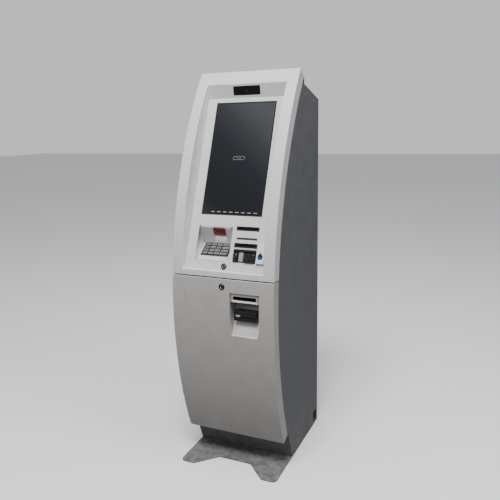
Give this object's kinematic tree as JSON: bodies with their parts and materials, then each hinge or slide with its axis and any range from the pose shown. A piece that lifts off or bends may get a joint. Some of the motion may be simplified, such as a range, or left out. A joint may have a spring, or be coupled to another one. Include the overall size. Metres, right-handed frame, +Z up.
{
  "type": "atm machine",
  "caption": "Slim free-standing cash kiosk with a bowed front: a top-hinged hood frames a tilted touch display, keypad and readers, over a door with a cash pocket.",
  "frame": {"origin": "on the floor, in the middle of the foot plate's width and depth", "axes": "+Z up, the customer stands on the -Y side, +X to the customer's right"},
  "size_m": [0.4636, 0.569, 1.664],
  "materials": {
    "cabinet_paint": "textured powder coat, satin",
    "base_paint": "textured powder coat, satin",
    "hood_paint": "fine silver-grey powder coat, satin",
    "door_paint": "fine silver-grey powder coat, satin",
    "zinc_steel": "zinc plated, dull",
    "screw_steel": "blackened zinc, satin",
    "lock_chrome": "dark nickel, polished",
    "display_glass": "black-bordered touch glass, glossy",
    "module_black": "moulded, matte",
    "gloss_black": "moulded, glossy",
    "fan_plastic": "moulded, matte",
    "scanner_red": "red translucent window, glossy",
    "reader_white": "moulded, glossy",
    "keypad_black": "black anodised, satin",
    "key_steel": "brushed stainless",
    "paper": "thermal receipt paper",
    "aluminium_case": "anodised",
    "strut_black": "black painted tube, glossy",
    "strut_chrome": "hard chromed rod"
  },
  "bodies": {
    "cabinet": {"foot_plate": "base_paint", "plinth_front": "cabinet_paint", "left_side_panel": "cabinet_paint", "right_side_panel": "cabinet_paint", "rear_panel": "cabinet_paint", "top_cover": "cabinet_paint", "cross_beam": "zinc_steel", "cover_screws": "screw_steel", "hood_hinge_brackets": "zinc_steel", "door_hinge_leaves": "zinc_steel", "industrial_pc": "aluminium_case", "power_supply": "aluminium_case", "fan_frame": "module_black", "power_inlet": "module_black", "cash_dispenser": "module_black"},
    "fan_rotor": {"fan_rotor": "fan_plastic"},
    "rocker_switch": {"rocker_switch": "module_black"},
    "hood": {"hood_frame": "hood_paint", "fascia_panel": "hood_paint", "display_glass": "display_glass", "display_module": "module_black", "camera_window": "gloss_black", "keypad_bay": "hood_paint", "code_scanner": "scanner_red", "keypad_plate": "keypad_black", "printer_bezel": "gloss_black", "card_slot_bezel": "gloss_black", "receipt_printer": "module_black", "card_reader": "gloss_black", "fingerprint_reader": "reader_white", "upper_lock_barrel": "lock_chrome"},
    "paper_roll": {"paper_roll": "paper"},
    "upper_lock_core": {"upper_lock_core": "lock_chrome"},
    "strut_cylinder": {"strut_cylinder": "strut_black"},
    "strut_rod": {"strut_rod": "strut_chrome"},
    "door": {"door_shell": "door_paint", "blank_plate": "door_paint", "cash_pocket": "door_paint", "bill_bezel": "gloss_black", "bill_acceptor": "module_black", "lower_lock_barrel": "lock_chrome", "door_hinge_knuckles": "zinc_steel"},
    "cash_box": {"cash_box": "zinc_steel"},
    "lower_lock_core": {"lower_lock_core": "lock_chrome"},
    "key_star": {"key_star": "key_steel"},
    "key_0": {"key_0": "key_steel"},
    "key_hash": {"key_hash": "key_steel"},
    "key_menu": {"key_menu": "key_steel"},
    "key_7": {"key_7": "key_steel"},
    "key_8": {"key_8": "key_steel"},
    "key_9": {"key_9": "key_steel"},
    "key_enter": {"key_enter": "key_steel"},
    "key_4": {"key_4": "key_steel"},
    "key_5": {"key_5": "key_steel"},
    "key_6": {"key_6": "key_steel"},
    "key_clear": {"key_clear": "key_steel"},
    "key_1": {"key_1": "key_steel"},
    "key_2": {"key_2": "key_steel"},
    "key_3": {"key_3": "key_steel"},
    "key_cancel": {"key_cancel": "key_steel"}
  },
  "joints": [
    {"name": "hood_hinge", "type": "hinge", "parent": "cabinet", "child": "hood", "pos_m": [0, 0.0769, 1.6244], "axis": [-1, 0, 0], "range_deg": [0, 70]},
    {"name": "door_hinge", "type": "hinge", "parent": "cabinet", "child": "door", "pos_m": [-0.2315, -0.2075, 0.487], "axis": [0, 0, -1], "range_deg": [0, 105]},
    {"name": "upper_lock_turn", "type": "hinge", "parent": "hood", "child": "upper_lock_core", "pos_m": [0, -0.24863, 0.89387], "axis": [0, 0.9293, -0.3694], "range_deg": [0, 90]},
    {"name": "lower_lock_turn", "type": "hinge", "parent": "door", "child": "lower_lock_core", "pos_m": [0.002, -0.27707, 0.818], "axis": [0, -0.9967, 0.0816], "range_deg": [0, 90]},
    {"name": "paper_roll_spin", "type": "hinge", "parent": "hood", "child": "paper_roll", "pos_m": [0.0835, -0.08042, 0.99756], "axis": [1, 0, 0], "continuous": true},
    {"name": "fan_spin", "type": "hinge", "parent": "cabinet", "child": "fan_rotor", "pos_m": [0, 0.2805, 1.43], "axis": [0, 1, 0], "continuous": true},
    {"name": "rocker_tip", "type": "hinge", "parent": "cabinet", "child": "rocker_switch", "pos_m": [-0.13, 0.2795, 0.106], "axis": [1, 0, 0], "range_deg": [0, 16]},
    {"name": "cash_box_slide", "type": "slide", "parent": "door", "child": "cash_box", "axis": [0, 1, 0], "range_m": [0, 0.12]},
    {"name": "strut_cylinder_turn", "type": "hinge", "parent": "cabinet", "child": "strut_cylinder", "pos_m": [-0.192, 0.23011, 1.49584], "axis": [-1, 0, 0], "range_deg": [0, 35]},
    {"name": "strut_rod_turn", "type": "hinge", "parent": "hood", "child": "strut_rod", "pos_m": [-0.192, -0.03782, 1.46057], "axis": [-1, 0, 0], "range_deg": [-35, 0]},
    {"name": "key_star_press", "type": "slide", "parent": "hood", "child": "key_star", "axis": [0, 0.5844, -0.8114], "range_m": [0, 0.002], "stiffness_N_per_m": 800, "springref_m": -0.0004},
    {"name": "key_0_press", "type": "slide", "parent": "hood", "child": "key_0", "axis": [0, 0.5844, -0.8114], "range_m": [0, 0.002], "stiffness_N_per_m": 800, "springref_m": -0.0004},
    {"name": "key_hash_press", "type": "slide", "parent": "hood", "child": "key_hash", "axis": [0, 0.5844, -0.8114], "range_m": [0, 0.002], "stiffness_N_per_m": 800, "springref_m": -0.0004},
    {"name": "key_menu_press", "type": "slide", "parent": "hood", "child": "key_menu", "axis": [0, 0.5844, -0.8114], "range_m": [0, 0.002], "stiffness_N_per_m": 800, "springref_m": -0.0004},
    {"name": "key_7_press", "type": "slide", "parent": "hood", "child": "key_7", "axis": [0, 0.5844, -0.8114], "range_m": [0, 0.002], "stiffness_N_per_m": 800, "springref_m": -0.0004},
    {"name": "key_8_press", "type": "slide", "parent": "hood", "child": "key_8", "axis": [0, 0.5844, -0.8114], "range_m": [0, 0.002], "stiffness_N_per_m": 800, "springref_m": -0.0004},
    {"name": "key_9_press", "type": "slide", "parent": "hood", "child": "key_9", "axis": [0, 0.5844, -0.8114], "range_m": [0, 0.002], "stiffness_N_per_m": 800, "springref_m": -0.0004},
    {"name": "key_enter_press", "type": "slide", "parent": "hood", "child": "key_enter", "axis": [0, 0.5844, -0.8114], "range_m": [0, 0.002], "stiffness_N_per_m": 800, "springref_m": -0.0004},
    {"name": "key_4_press", "type": "slide", "parent": "hood", "child": "key_4", "axis": [0, 0.5844, -0.8114], "range_m": [0, 0.002], "stiffness_N_per_m": 800, "springref_m": -0.0004},
    {"name": "key_5_press", "type": "slide", "parent": "hood", "child": "key_5", "axis": [0, 0.5844, -0.8114], "range_m": [0, 0.002], "stiffness_N_per_m": 800, "springref_m": -0.0004},
    {"name": "key_6_press", "type": "slide", "parent": "hood", "child": "key_6", "axis": [0, 0.5844, -0.8114], "range_m": [0, 0.002], "stiffness_N_per_m": 800, "springref_m": -0.0004},
    {"name": "key_clear_press", "type": "slide", "parent": "hood", "child": "key_clear", "axis": [0, 0.5844, -0.8114], "range_m": [0, 0.002], "stiffness_N_per_m": 800, "springref_m": -0.0004},
    {"name": "key_1_press", "type": "slide", "parent": "hood", "child": "key_1", "axis": [0, 0.5844, -0.8114], "range_m": [0, 0.002], "stiffness_N_per_m": 800, "springref_m": -0.0004},
    {"name": "key_2_press", "type": "slide", "parent": "hood", "child": "key_2", "axis": [0, 0.5844, -0.8114], "range_m": [0, 0.002], "stiffness_N_per_m": 800, "springref_m": -0.0004},
    {"name": "key_3_press", "type": "slide", "parent": "hood", "child": "key_3", "axis": [0, 0.5844, -0.8114], "range_m": [0, 0.002], "stiffness_N_per_m": 800, "springref_m": -0.0004},
    {"name": "key_cancel_press", "type": "slide", "parent": "hood", "child": "key_cancel", "axis": [0, 0.5844, -0.8114], "range_m": [0, 0.002], "stiffness_N_per_m": 800, "springref_m": -0.0004}
  ],
  "couplings": [
    {"joint": "strut_cylinder_turn", "follows": "hood_hinge", "ratio": 0.5},
    {"joint": "strut_rod_turn", "follows": "hood_hinge", "ratio": -0.5}
  ]
}
